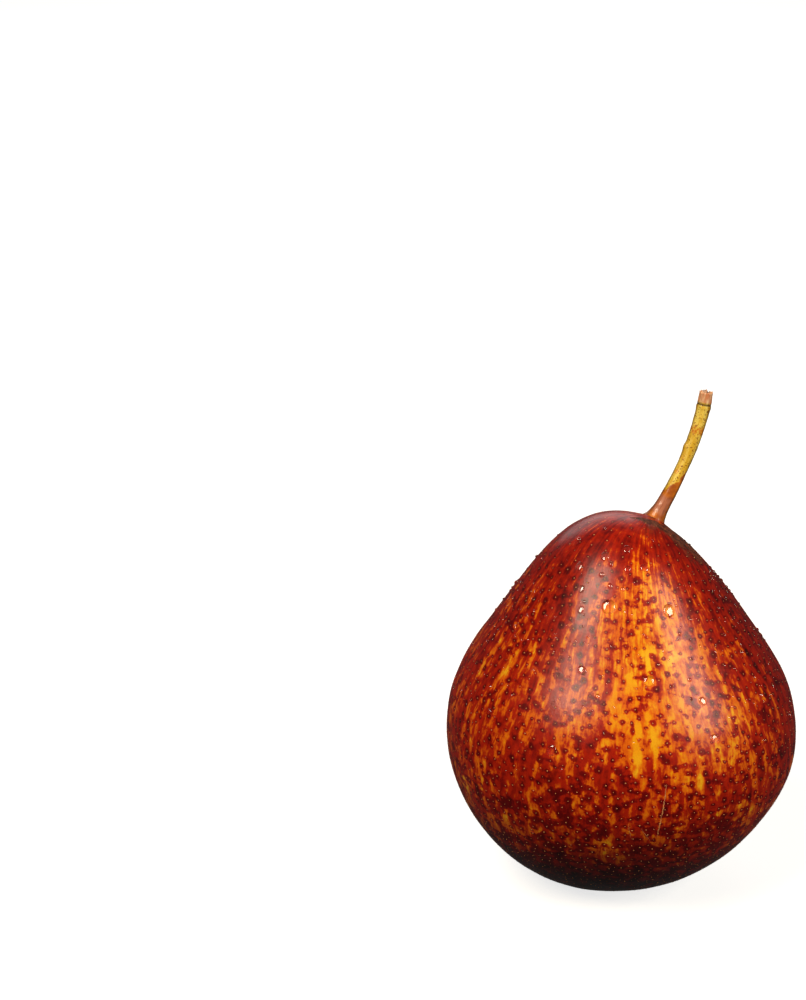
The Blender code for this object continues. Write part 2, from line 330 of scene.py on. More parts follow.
def outline_rows():
    """Radius, height and length along the outline of each row, from the stem's foot to the calyx."""
    outline = np.vstack([UPPER, lower_outline()])
    steps = np.linalg.norm(np.diff(outline, axis=0), axis=1)
    along = np.concatenate([[0], np.cumsum(steps)])
    (foot_share, foot_reach), (calyx_share, calyx_reach) = FOOT_CROWDING, CALYX_CROWDING
    crowding = 1 + foot_share * np.exp(-along / foot_reach)
    crowding = crowding + calyx_share * np.exp(-(along[-1] - along) / calyx_reach)
    weight = np.concatenate([[0], np.cumsum(steps * (crowding[1:] + crowding[:-1]) / 2)])
    wanted = np.linspace(0, weight[-1], ROWS)
    at = np.interp(wanted, weight, along)
    return np.interp(at, along, outline[:, 0]), np.interp(at, along, outline[:, 1]), at


# Meshes


def new_piece(name, vertices, faces, material, smooth=True):
    mesh = bpy.data.meshes.new(name)
    mesh.from_pydata(vertices, [], faces)
    mesh.materials.append(material)
    if smooth:
        mesh.shade_smooth()
    mesh.update()
    piece = bpy.data.objects.new(name, mesh)
    bpy.context.scene.collection.objects.link(piece)
    return piece


def points_of(mesh):
    places = np.empty(len(mesh.vertices) * 3, np.float32)
    mesh.vertices.foreach_get("co", places)
    return places.reshape(-1, 3).astype(float)


def normals_of(mesh):
    normals = np.empty(len(mesh.vertices) * 3, np.float32)
    mesh.vertex_normals.foreach_get("vector", normals)
    return normals.reshape(-1, 3).astype(float)


def move_points(mesh, places):
    mesh.vertices.foreach_set("co", places.astype(np.float32).ravel())
    mesh.update()


def store(mesh, name, values):
    """Keeps a number, or a vector, for each vertex."""
    values = np.asarray(values, np.float32)
    kind, field = ("FLOAT_VECTOR", "vector") if values.ndim == 2 else ("FLOAT", "value")
    mesh.attributes.new(name, kind, "POINT").data.foreach_set(field, values.ravel())


def noise_at(places, scale, seed=0.0):
    """Smooth noise from about -1 to 1 at each place; scale is the size of its waves in metres."""
    return np.array([noise.noise(Vector(place) / scale + Vector((seed, 0, 0))) for place in places])


def grid_faces(rows, columns):
    """Quads between rings of vertices, each ring closed on itself."""
    faces = []
    for row in range(rows - 1):
        for column in range(columns):
            after = (column + 1) % columns
            a = row * columns
            b = a + columns
            faces.append((a + column, b + column, b + after, a + after))
    return faces


# Materials


class Tree:
    """Short calls that build one material's nodes."""

    def __init__(self, name):
        self.material = bpy.data.materials.new(name)
        self.material.use_nodes = True
        self.nodes = self.material.node_tree.nodes
        self.links = self.material.node_tree.links
        self.shader = self.nodes["Principled BSDF"]

    def feed(self, socket, value):
        if isinstance(value, bpy.types.NodeSocket):
            self.links.new(value, socket)
        elif isinstance(value, tuple) and len(value) == 3 and socket.type == "RGBA":
            socket.default_value = (*value, 1.0)
        else:
            socket.default_value = value

    def set(self, **values):
        for name, value in values.items():
            self.feed(self.shader.inputs[name.replace("_", " ")], value)

    def math(self, operation, a, b=0.0):
        node = self.nodes.new("ShaderNodeMath")
        node.operation = operation
        self.feed(node.inputs[0], a)
        self.feed(node.inputs[1], b)
        return node.outputs[0]

    def add(self, a, b):
        return self.math("ADD", a, b)

    def times(self, a, b):
        return self.math("MULTIPLY", a, b)

    def sway(self, value, amount):
        """Noise made to swing round 0, from about -amount to amount."""
        return self.times(self.add(value, -0.5), amount * 3)

    def vector_math(self, operation, *values):
        node = self.nodes.new("ShaderNodeVectorMath")
        node.operation = operation
        for socket, value in zip(node.inputs, values):
            self.feed(socket, value)
        return node.outputs

    def moved(self, vector, offset, amount):
        """The vector plus amount times the offset."""
        return self.vector_math("MULTIPLY_ADD", offset, (amount, amount, amount), vector)["Vector"]

    def scaled(self, vector, x, y, z):
        return self.vector_math("MULTIPLY", vector, (x, y, z))["Vector"]

    def distance(self, a, b):
        return self.vector_math("DISTANCE", a, b)["Value"]

    def mix(self, share, a, b, blend="MIX"):
        node = self.nodes.new("ShaderNodeMix")
        node.data_type = "RGBA"
        node.blend_type = blend
        node.clamp_factor = True
        self.feed(node.inputs[0], share)
        self.feed(node.inputs[6], a)
        self.feed(node.inputs[7], b)
        return node.outputs[2]

    def noise(self, vector, size, detail=2.0, roughness=0.5, colour=False):
        """Noise whose waves are about size metres; it lies from about 0.2 to 0.8 round 0.5."""
        node = self.nodes.new("ShaderNodeTexNoise")
        self.feed(node.inputs["Vector"], vector)
        node.inputs["Scale"].default_value = 1 / size
        node.inputs["Detail"].default_value = detail
        node.inputs["Roughness"].default_value = roughness
        return node.outputs["Color" if colour else "Fac"]

    def band(self, value, low, high, to_low=0.0, to_high=1.0):
        """A smooth step from low to high."""
        node = self.nodes.new("ShaderNodeMapRange")
        node.interpolation_type = "SMOOTHSTEP"
        for socket, number in zip(node.inputs, (value, low, high, to_low, to_high)):
            self.feed(socket, number)
        return node.outputs[0]

    def attribute(self, name, field="Fac"):
        node = self.nodes.new("ShaderNodeAttribute")
        node.attribute_name = name
        return node.outputs[field]

    def place(self):
        return self.nodes.new("ShaderNodeTexCoord").outputs["Object"]

    def bump(self, height, distance, strength=1.0):
        node = self.nodes.new("ShaderNodeBump")
        node.inputs["Strength"].default_value = strength
        node.inputs["Distance"].default_value = distance
        self.feed(node.inputs["Height"], height)
        self.feed(self.shader.inputs["Normal"], node.outputs[0])


def skin_material():
    """Golden ground under red streaks and red rings round the lenticels, deep red where it blushed."""
    tree = Tree("pear_skin")
    place = tree.place()
    bend = tree.noise(place, 0.005, colour=True)
    streak = tree.moved(tree.attribute("streak", "Vector"), bend, 0.0022)
    broad = tree.noise(tree.scaled(streak, 1, 1, 0.22), 0.0020, 3.0, 0.6)
    fine = tree.noise(tree.scaled(streak, 1, 1, 0.12), 0.0009, 3.0, 0.6)
    mottle = tree.noise(tree.scaled(place, 1, 1, 0.7), 0.0016, 3.0, 0.6)
    ragged = tree.noise(place, 0.0008)

    # Red rings: a soft one that melts into its neighbours, and a dark one close round the lenticel.
    halo = tree.add(tree.attribute("halo"), tree.sway(ragged, 0.34))
    spot = tree.band(halo, 0.24, 0.70)
    reach = tree.distance(place, tree.attribute("near", "Vector"))
    reach = tree.math("MAXIMUM", reach, tree.add(tree.attribute("gap"), -0.00035))
    ring = tree.band(tree.add(reach, tree.sway(ragged, 0.0001)), 0.00050, 0.00022)

    # Redness: 0 is golden, 1 is crimson.
    red = tree.attribute("blush")
    for noisy, amount in ((broad, 0.50), (fine, 0.28), (mottle, 0.40)):
        red = tree.add(red, tree.sway(noisy, amount))
    red = tree.add(tree.add(red, tree.times(spot, 0.52)), tree.times(ring, 0.12))
    tone = tree.noise(place, 0.011)
    ground = tree.mix(tree.band(tone, 0.35, 0.65), srgb(255, 194, 30), srgb(248, 158, 6))
    colour = tree.mix(tree.attribute("green"), ground, srgb(190, 178, 50))
    for low, high, deeper in REDS:
        colour = tree.mix(tree.band(red, low, high), colour, srgb(*deeper))

    # Russet by the stem and in the basin, darker streaks in the red, and a fine grain all over.
    scab = tree.add(tree.attribute("russet"), tree.sway(mottle, 0.24))
    scab = tree.band(tree.add(scab, tree.sway(fine, 0.26)), 0.36, 0.62)
    flake = tree.noise(place, 0.0009, 4.0, 0.65)
    brown = tree.mix(tree.band(flake, 0.32, 0.68), srgb(44, 14, 10), srgb(138, 72, 44))
    scab = tree.times(scab, tree.band(flake, 0.72, 0.52, 0.35, 1.0))
    colour = tree.mix(scab, colour, brown)
    streaky = tree.mix(tree.band(fine, 0.34, 0.62), srgb(190, 164, 160), srgb(255, 255, 255))
    colour = tree.mix(tree.band(red, 0.45, 0.85, 0.0, 0.8), colour, streaky, "MULTIPLY")
    grain = tree.noise(place, 0.00028)
    colour = tree.mix(0.25, colour, tree.mix(grain, srgb(60, 60, 60), srgb(255, 255, 255)), "MULTIPLY")
    rough = tree.add(tree.times(tree.noise(place, 0.0023, 3.0), 0.24), 0.20)
    rough = tree.add(rough, tree.times(scab, 0.35))
    tree.set(Base_Color=colour, Roughness=rough)
    tree.set(IOR=1.39, Coat_Weight=0.12, Coat_Roughness=0.2, Coat_IOR=1.33)
    relief = tree.add(tree.times(tree.noise(place, 0.0005, 3.0), 0.6), tree.times(fine, 0.25))
    relief = tree.add(relief, tree.times(scab, tree.noise(place, 0.0004)))
    tree.bump(relief, 0.00006, 0.6)
    return tree.material


def cork_material():
    """Pale tan cork of the lenticels and of healed scratches."""
    tree = Tree("lenticel_cork")
    place = tree.place()
    tone = tree.noise(place, 0.0012)
    fleck = tree.noise(place, 0.0001)
    colour = tree.mix(tree.band(tone, 0.35, 0.65), srgb(238, 160, 92), srgb(196, 126, 84))
    colour = tree.mix(tree.times(fleck, 0.4), colour, srgb(130, 76, 46))
    tree.set(Base_Color=colour, Roughness=tree.add(tree.times(fleck, 0.3), 0.45))
    tree.bump(fleck, 0.00002)
    return tree.material


def water_material():
    """Clear water whose colour holds painted shade: a little darker on its side up the slope and round its
    rim, where it bends the light away.
    """
    tree = Tree("water_drop")
    ripple = tree.noise(tree.place(), 0.0008, 1.0)
    # Painted shade: the water's colour darkens to brown on the side up the slope and at the rim.
    colour = tree.mix(tree.attribute("painted_drop_shade"), (1.0, 0.98, 0.92), (0.30, 0.17, 0.10))
    tree.set(Base_Color=colour, Transmission_Weight=1.0, IOR=1.333)
    tree.set(Roughness=tree.times(ripple, 0.02))
    tree.set(Coat_Weight=1.0, Coat_Roughness=0.03, Coat_IOR=1.7)
    tree.bump(ripple, 0.00001, 0.3)
    return tree.material


def stem_material():
    """Yellow bark with brown specks over a browned, reddish foot, a torn tan end, and painted shade down its
    left and right sides.
    """
    tree = Tree("stem_bark")
    place = tree.place()
    rise = tree.attribute("rise")
    side = tree.attribute("side")
    fibre = tree.noise(tree.scaled(tree.attribute("bark", "Vector"), 1, 1, 0.12), 0.0004, 3.0)
    patch = tree.noise(place, 0.0016, 3.0)
    speck = tree.noise(place, 0.00036)
    colour = tree.mix(tree.band(fibre, 0.35, 0.68), srgb(226, 178, 44), srgb(252, 224, 104))
    colour = tree.mix(tree.band(patch, 0.55, 0.75), colour, srgb(230, 160, 40))
    dotted = tree.add(speck, tree.times(side, 0.03))
    colour = tree.mix(tree.band(dotted, 0.57, 0.66), colour, srgb(150, 88, 16))
    fleck_band = tree.band(tree.math("ABSOLUTE", tree.add(rise, -0.72)), 0.040, 0.005)
    colour = tree.mix(tree.times(fleck_band, tree.band(speck, 0.42, 0.56)), colour, srgb(214, 116, 14))
    # The browned foot runs up one flank to a sharp edge. It is pinkish between two orange zones.
    browned = tree.add(tree.times(side, 0.10), tree.times(rise, -1.0))
    browned = tree.band(tree.add(browned, tree.sway(patch, 0.05)), -0.34, -0.31)
    pink = tree.mix(tree.band(fibre, 0.4, 0.7), srgb(190, 116, 84), srgb(150, 84, 56))
    orange = tree.mix(tree.band(patch, 0.35, 0.65), srgb(212, 118, 14), srgb(168, 82, 16))
    middle = tree.band(tree.math("ABSOLUTE", tree.add(rise, -0.13)), 0.085, 0.045)
    middle = tree.times(middle, tree.band(side, 0.75, 0.35))
    colour = tree.mix(browned, colour, tree.mix(middle, orange, pink))
    # Painted shade: the stem's left and right sides (along X) darken to deep brown, more on the right.
    right_edge_shade = tree.times(tree.band(side, 0.55, 0.95), 0.8)
    left_edge_shade = tree.times(tree.band(side, -0.80, -1.0), 0.55)
    colour = tree.mix(tree.add(right_edge_shade, left_edge_shade), colour, srgb(80, 44, 14))
    torn = tree.mix(tree.band(fibre, 0.35, 0.65), srgb(214, 134, 90), srgb(244, 204, 160))
    colour = tree.mix(tree.attribute("torn"), colour, torn)
    colour = tree.mix(tree.attribute("scar_ring"), colour, srgb(58, 34, 18))
    tree.set(Base_Color=colour, Roughness=tree.add(tree.times(fibre, 0.35), 0.28))
    tree.set(IOR=1.45, Coat_Weight=0.5, Coat_Roughness=0.12)
    tree.bump(tree.add(fibre, tree.times(speck, 0.5)), 0.00008, 0.7)
    return tree.material


def dried_material(name, dark, light, roughness):
    """Brown, brittle and fibrous."""
    tree = Tree(name)
    place = tree.place()
    fibre = tree.noise(tree.scaled(place, 1, 1, 0.4), 0.0003, 4.0, 0.65)
    patch = tree.noise(place, 0.0011, 3.0)
    colour = tree.mix(tree.band(fibre, 0.3, 0.7), dark, light)
    colour = tree.mix(tree.band(patch, 0.5, 0.7), colour, tuple(0.5 * value for value in dark))
    tree.set(Base_Color=colour, Roughness=tree.add(tree.times(fibre, 0.2), roughness))
    tree.bump(fibre, 0.00008)
    return tree.material


# Skin


def skin_grid():
    """Places, faces, and the turn and the length along the outline of each vertex."""
    radius, height, along = (
        np.concatenate([np.repeat(rows[1:-1], COLUMNS), rows[[0, -1]]]) for rows in outline_rows()
    )
    turns = np.arange(COLUMNS) * math.tau / COLUMNS
    turn = np.concatenate([np.tile(turns, ROWS - 2), [0, 0]])
    faces = grid_faces(ROWS - 2, COLUMNS)
    top = (ROWS - 2) * COLUMNS
    last = (ROWS - 3) * COLUMNS
    for column in range(COLUMNS):
        after = (column + 1) % COLUMNS
        faces.append((top, column, after))
        faces.append((top + 1, last + after, last + column))
    return grown(radius, turn, height), faces, turn, along


def turn_and_height(places):
    """The turn in degrees and the height in metres of each place."""
    return np.degrees(np.arctan2(places[:, 0], -places[:, 1])), places[:, 2]


def turn_gap(turns, middle):
    """How far each turn is from the middle one, from -180 to 180 degrees."""
    return (turns - middle + 180) % 360 - 180


def blush_field(places):
    """How red and how green the skin is: golden at the front right, and greener at the back."""
    turns, heights = turn_and_height(places)
    aside = turn_gap(turns, WINDOW_TURN)
    right = 28 + 10 * hill(heights - 0.042, 0.010)
    left = 40 - 12 * smooth_step(0.046, 0.058, heights)
    window = hill(aside, np.where(aside > 0, right, left)) * smooth_step(0.028, 0.043, heights)
    window *= 1 - 0.6 * smooth_step(0.062, 0.070, heights)
    low = hill(turn_gap(turns, LOW_TURN), 24) * hill(heights - 0.036, 0.010)
    flank = hill(turn_gap(turns, FLANK_TURN), 30) * hill(heights - 0.044, 0.016)
    back = hill(turn_gap(turns, BACK_TURN), 52) * smooth_step(0.010, 0.030, heights)
    back *= 1 - 0.8 * smooth_step(0.057, 0.066, heights)
    # Less red in the window, low down, on the flank and at the back, and round the lower belly.
    # More red on the crown and at the deep red turn, and more red near the base: a deeper red the skin has
    # there, with painted shade that darkens it towards the bottom.
    field = 0.80 - 0.52 * window - 0.16 * low * (1 - window) - 0.16 * flank - 0.56 * back
    field += 0.26 * smooth_step(0.018, 0.007, heights) + 0.12 * smooth_step(0.060, 0.068, heights)
    field -= 0.20 * hill(heights - 0.022, 0.009)
    field += 0.16 * hill(turn_gap(turns, DEEP_TURN), 26)
    under = smooth_step(0.0035, 0.0005, heights) * (np.hypot(places[:, 0], places[:, 1]) < 0.012)
    return field - 0.35 * under, np.clip(back * 0.9 + under * 0.8, 0, 1)


def russet_field(places):
    """Rough brown skin beside the stem, on the side that it leans to, and inside the calyx basin."""
    turns, heights = turn_and_height(places)
    beside = 0.8 * hill(turn_gap(turns, RUSSET_TURN), 30) * smooth_step(0.0590, 0.0660, heights)
    foot = hill(np.linalg.norm(places - STEM_FOOT, axis=1), 0.0034)
    spread = np.hypot(places[:, 0] - BASE_LEAN[0], places[:, 1])
    basin = smooth_step(0.0068, 0.0048, spread) * (heights < 0.010)
    return np.maximum(np.maximum(beside, 0.7 * foot), 0.9 * basin)


def roughen(places, normals):
    """The fruit's gentle lumps, the collar round the stem, the puckers round the calyx and the scabs."""
    lift = sum(lump * noise_at(places, size, seed) for lump, size, seed in LUMPS)
    heights = places[:, 2]
    scab = smooth_step(0.35, 0.65, russet_field(places))
    lump, size, seed = SCAB_LUMPS
    lift += scab * lump * noise_at(places, size, seed)
    spread = np.hypot(places[:, 0] - BASE_LEAN[0], places[:, 1])
    angle = np.arctan2(places[:, 1], places[:, 0] - BASE_LEAN[0])
    folds = 0.5 + 0.5 * np.cos(PUCKERS * angle + 1.5 * np.sin(2 * angle + 0.6))
    near_calyx = hill(spread - PUCKER_RADIUS, PUCKER_REACH) * (heights < 0.008)
    lift -= PUCKER_DEPTH * folds * near_calyx
    moved = places + normals * lift[:, None]
    from_foot = np.linalg.norm(places - STEM_FOOT, axis=1)
    moved += STEM_AXIS * (COLLAR_LIFT * hill(from_foot, COLLAR_REACH))[:, None]
    moved[:, 2] = np.maximum(moved[:, 2], 0.0)
    return moved


def fit_to_fruit(places):
    """Puts the skin where the CAD fruit is, a hair inside its box."""
    low, high = np.array(FRUIT_BOX[0]), np.array(FRUIT_BOX[1])
    own_low, own_high = places.min(0), places.max(0)
    for axis in range(2):
        share = (high[axis] - low[axis] - 2 * SKIN_INSET) / (own_high[axis] - own_low[axis])
        middle = (own_high[axis] + own_low[axis]) / 2
        places[:, axis] = (places[:, axis] - middle) * share + (low[axis] + high[axis]) / 2
    return places


def lenticel_spacing(height):
    return float(np.interp(height, LENTICEL_HEIGHTS, LENTICEL_SPACINGS)) * MM


def scatter_lenticels(mesh, rng):
    """Places and normals of the lenticels, no two nearer than their spacing."""
    mesh.calc_loop_triangles()
    corners = np.empty(len(mesh.loop_triangles) * 3, np.int32)
    mesh.loop_triangles.foreach_get("vertices", corners)
    corners = corners.reshape(-1, 3)
    places, normals = points_of(mesh), normals_of(mesh)
    a, b, c = (places[corners[:, i]] for i in range(3))
    areas = np.linalg.norm(np.cross(b - a, c - a), axis=1)
    chosen = rng.choice(len(corners), LENTICEL_TRIES, p=areas / areas.sum())
    shares = rng.dirichlet((1, 1, 1), LENTICEL_TRIES)[:, :, None]
    found = (places[corners[chosen]] * shares).sum(1)
    facing = (normals[corners[chosen]] * shares).sum(1)
    kept = []
    cells = {}
    for index, (x, y, z) in enumerate(found.tolist()):
        if math.dist((x, y, z), STEM_FOOT) < STEM_CLEARANCE or z < LOWEST_LENTICEL:
            continue
        if math.hypot(x - BASE_LEAN[0], y) < CALYX_CLEARANCE and z < UNDERSIDE_TOP:
            continue
        spacing = lenticel_spacing(z) * rng.uniform(0.75, 1.05)
        cell = tuple(int(value // LENTICEL_CELL) for value in (x, y, z))
        around = [
            other
            for i in (-1, 0, 1) for j in (-1, 0, 1) for k in (-1, 0, 1)
            for other in cells.get((cell[0] + i, cell[1] + j, cell[2] + k), ())
        ]
        if all(math.dist((x, y, z), other) > spacing for other in around):
            cells.setdefault(cell, []).append((x, y, z))
            kept.append(index)
    return found[kept], facing[kept] / np.linalg.norm(facing[kept], axis=1)[:, None]


def halo_fields(places, lenticels, rng):
    """The melted red halos at each vertex, the nearest lenticel and how far it is."""
    finder = KDTree(len(places))
    for index, place in enumerate(places):
        finder.insert(place, index)
    finder.balance()
    halo = np.zeros(len(places))
    near = places + NO_LENTICEL
    gap = np.full(len(places), NO_LENTICEL)
    for lenticel in lenticels:
        width = rng.uniform(0.45, 0.90) * MM
        flat = rng.uniform(0.9, 1.6)
        strength = rng.uniform(0.45, 1.15) * (1 - 0.55 * smooth_step(0.064, 0.070, lenticel[2]))
        strength *= 1 + 0.35 * smooth_step(0.036, 0.022, lenticel[2])
        for place, index, distance in finder.find_range(lenticel, HALO_REACH):
            x, y, z = (place[axis] - lenticel[axis] for axis in range(3))
            reach = math.hypot(x, y, z * flat)
            halo[index] += strength * math.exp(-((reach / width) ** 2))
            if distance < gap[index]:
                gap[index] = distance
                near[index] = lenticel
    return halo, near, gap


def frame_on(normal):
    """Two directions along the skin: across, and downhill."""
    normal = Vector(normal)
    across = normal.cross(Vector((0, 0, 1)))
    if across.length < 1e-4:
        across = Vector((1, 0, 0))
    across.normalize()
    downhill = normal.cross(across)
    if downhill.z > 0:
        downhill = -downhill
    return np.array(across), np.array(downhill)


def add_dome(vertices, faces, place, normal, radius, rings, sides, sink, sag=0.0, stretch=1.0, wobble=0.0):
    """A closed drop-shaped dome that goes into the skin by its sink. Its rings are (share of the radius,
    height) from the rim up. It can sag and stretch downhill, and wobble makes it less round."""
    across, downhill = frame_on(normal)
    start = len(vertices)
    top = rings[-1][1]
    levels = [(0.9, -sink)] + list(rings[:-1])
    for share, height in levels:
        lean = downhill * sag * max(height, 0) / top * radius
        for side in range(sides):
            angle = math.tau * side / sides
            reach = radius * share * (1 + wobble * math.cos(2 * angle + 70 * wobble + 1) * share)
            flat = across * math.cos(angle) * reach + downhill * math.sin(angle) * reach * stretch
            vertices.append(place + flat + lean + normal * height)
    vertices.append(place + downhill * sag * radius + normal * top)
    vertices.append(place - normal * sink)
    count = len(levels)
    own_faces = []
    for row in range(count - 1):
        for side in range(sides):
            after = (side + 1) % sides
            a = start + row * sides
            own_faces.append((a + side, a + after, a + sides + after, a + sides + side))
    cap = start + (count - 1) * sides
    tip, bottom = start + count * sides, start + count * sides + 1
    for side in range(sides):
        after = (side + 1) % sides
        own_faces.append((cap + side, cap + after, tip))
        own_faces.append((start + after, start + side, bottom))
    outward = np.dot(np.cross(across, downhill), normal) > 0
    faces.extend(own_faces if outward else [face[::-1] for face in own_faces])


def make_lenticels(lenticels, normals, material, rng):
    """A low cork dome for each lenticel."""
    vertices, faces = [], []
    for place, normal in zip(lenticels, normals):
        radius = rng.uniform(0.08, 0.15) * MM
        rings = ((1.0, 0.0), (0.0, radius * 0.4))
        add_dome(vertices, faces, place, normal, radius, rings, LENTICEL_SIDES, LENTICEL_SINK)
    return new_piece("lenticels", vertices, faces, material)


# Water drops


def cap_rings(angle, radius, count):
    """Rings of a drop whose edge meets the skin at an angle in degrees."""
    edge = math.radians(angle)
    sphere = radius / math.sin(edge)
    steps = [edge * (1 - i / count) for i in range(count + 1)]
    return [(math.sin(at) / math.sin(edge), (math.cos(at) - math.cos(edge)) * sphere) for at in steps]


def flat_rings(radius, count):
    """Rings of a wide, flat-topped drop with a steep rim."""
    steps = [math.pi / 2 * i / count for i in range(count + 1)]
    tall = FLAT_DROP_HEIGHT * radius
    power = FLAT_DROP_CURVE
    return [(max(math.cos(step), 0) ** power, tall * math.sin(step) ** power) for step in steps]


def on_skin(finder, turn, height):
    """The skin's place and normal at a turn and a height, seen from outside."""
    around = math.radians(turn)
    away = Vector((math.sin(around), -math.cos(around), 0))
    place, normal, _, _ = finder.ray_cast(away * 0.2 + Vector((0, 0, height)), -away)
    return (np.array(place), np.array(normal)) if place else (None, None)


def make_drops(finder, material, rng):
    """The drops one sees first, and a mist of small ones, thickest on the upper half."""
    wanted = list(MAIN_DROPS)
    for _ in range(DROP_COUNT):
        height = rng.triangular(30, 58, 70)
        wanted.append((rng.uniform(-180, 180), height, rng.uniform(0.12, 0.30) * rng.uniform(0.8, 1.6)))
    for _ in range(EDGE_DROP_COUNT):
        wanted.append((rng.uniform(60, 115), rng.uniform(42, 66), rng.uniform(0.12, 0.26)))
    vertices, faces, taken, painted_drop_shade = [], [], [], []
    low, high = CAD_BOX
    for turn, height, radius in wanted:
        place, normal = on_skin(finder, turn, height * MM)
        radius *= MM
        angle = rng.uniform(62, 84)
        stretch = 1 + rng.uniform(0.0, 0.25)
        sag = rng.uniform(0.02, 0.12)
        if place is None or math.dist(place, STEM_FOOT) < STEM_CLEARANCE + radius:
            continue
        if any(math.dist(place, other) < (radius + size) * DROP_GAP for other, size in taken):
            continue
        count = 9 if radius > FINE_DROP else 5
        rings = flat_rings(radius, 12) if radius > FLAT_DROP else cap_rings(angle, radius, count)
        peak = place + normal * rings[-1][1]
        if any(not low[i] < peak[i] < high[i] for i in range(3)):
            continue
        taken.append((place, radius))
        sides = 40 if radius > FINE_DROP else 16
        first = len(vertices)
        wobble = rng.uniform(0, 0.12)
        add_dome(vertices, faces, place, normal, radius, rings, sides, DROP_SINK, sag, stretch, wobble)
        across, downhill = frame_on(normal)
        # Painted shade for the water's colour: dark on the side up the slope, and round the rim.
        from_middle = np.array(vertices[first:]) - place
        above = from_middle @ -downhill / radius
        aside = from_middle @ across / radius
        rim = 0.8 * smooth_step(0.7, 1.0, np.hypot(above, aside))
        painted_drop_shade.extend(np.maximum(smooth_step(-0.2, 0.8, above), rim))
    drops = new_piece("water_drops", vertices, faces, material)
    store(drops.data, "painted_drop_shade", painted_drop_shade)
    drops.visible_shadow = False
    return drops


# Tubes: the stem, the stamens and healed scratches


def tube_mesh(line, radii, sides, reference):
    """Vertices and faces of a closed tube along a line. Side 0 faces across the reference direction."""
    line = np.asarray(line, float)
    tangents = np.gradient(line, axis=0)
    tangents /= np.linalg.norm(tangents, axis=1)[:, None]
    side = np.cross(tangents, reference)
    side /= np.linalg.norm(side, axis=1)[:, None]
    front = np.cross(tangents, side)
    angles = np.arange(sides) * math.tau / sides
    radii = np.broadcast_to(np.asarray(radii, float).reshape(len(line), -1), (len(line), sides))
    aside = side[:, None, :] * np.cos(angles)[None, :, None]
    around = aside + front[:, None, :] * np.sin(angles)[None, :, None]
    rings = line[:, None, :] + around * radii[:, :, None]
    vertices = list(rings.reshape(-1, 3)) + [line[0], line[-1]]
    faces = [face[::-1] for face in grid_faces(len(line), sides)]
    first, last = len(line) * sides, len(line) * sides + 1
    end = (len(line) - 1) * sides
    for index in range(sides):
        after = (index + 1) % sides
        faces.append((first, after, index))
        faces.append((last, end + index, end + after))
    return vertices, faces


def add_mesh(vertices, faces, more_vertices, more_faces):
    start = len(vertices)
    vertices.extend(more_vertices)
    faces.extend(tuple(index + start for index in face) for face in more_faces)


def stem_point(share):
    """The stem's centreline; share 0 is on the skin and 1 is the tip."""
    near = STEM_FOOT + STEM_RISE * STEM_LEAVING
    far = STEM_FOOT + STEM_RISE * (1 - STEM_ARRIVING)
    tip = STEM_FOOT + STEM_RISE
    t, u = share, 1 - share
    return u**3 * STEM_FOOT + 3 * u * u * t * near + 3 * u * t * t * far + t**3 * tip


def stem_noise(distance, angles, around, along, offset=0.0):
    """Smooth noise on the stem's bark, for each row and side."""
    ring = [(math.cos(a) * around + offset, math.sin(a) * around) for a in angles]
    return np.array([[noise.noise(Vector((*place, s / along))) for place in ring] for s in distance])


def stem_radii(distance, angles, total, scar):
    """The stem's radius for each row and side."""
    d, phi = np.meshgrid(distance, angles, indexing="ij")
    above = np.maximum(d, 0)
    radius = STEM_NECK_RADIUS + (STEM_FOOT_RADIUS - STEM_NECK_RADIUS) * np.exp(-above / STEM_FLARE)
    radius += (STEM_TIP_RADIUS - STEM_NECK_RADIUS) * (above / STEM_RISE[2]) ** 2
    radius += LIP_HEIGHT * np.exp(-np.abs(d + 0.0002) / LIP_REACH)
    # Stouter above the foot, a little slimmer halfway up, and a small bud on the left.
    radius += 0.00014 * smooth_step(0.0015, 0.0070, d) - 0.00006 * hill(d - 0.0118, 0.0030)
    left = (phi + math.pi) % math.tau - math.pi
    radius += BUD_HEIGHT * hill(d - BUD_PLACE, 0.0007) * hill(left - 0.2, 0.5)
    # Swollen below the scar ring, pinched in it, and slimmer where it is torn.
    radius += 0.00006 * hill(d - (total - 0.0028), 0.0004) - 0.00006 * scar
    radius -= 0.00010 * smooth_step(total - TORN_BELOW_TIP, total, d)
    ribs = stem_noise(distance, angles, 1.8, 0.0055)
    knots = stem_noise(distance, angles, 2.6, 0.0009, 9)
    radius *= 1 + 0.06 * ribs + 0.03 * knots
    return radius


def stem_fibre(index, tip, rng):
    """Vertices and faces of a fibre that stands up from the torn rim."""
    angle = math.tau * (index + rng.uniform(-0.3, 0.3)) / STEM_FIBRES + math.pi
    out = np.array((math.cos(angle), -math.sin(angle), 0.0))
    root = tip + out * 0.00092 - np.array((0, 0, 0.0003))
    tall = (0.90 if index == 0 else rng.uniform(0.35, 0.7)) * MM
    steps = np.linspace(0, 1, 6)[:, None]
    bend = out * rng.uniform(-0.1, 0.12) * MM
    fibre = root + np.array((0.0, 0.0, tall)) * steps + bend * steps**2
    fibre[:, 2] = np.minimum(fibre[:, 2], CAD_BOX[1][2] - 0.00002)
    return tube_mesh(fibre, FIBRE_RADIUS * (1 - 0.8 * steps[:, 0]), 7, (0, 1, 0.3))


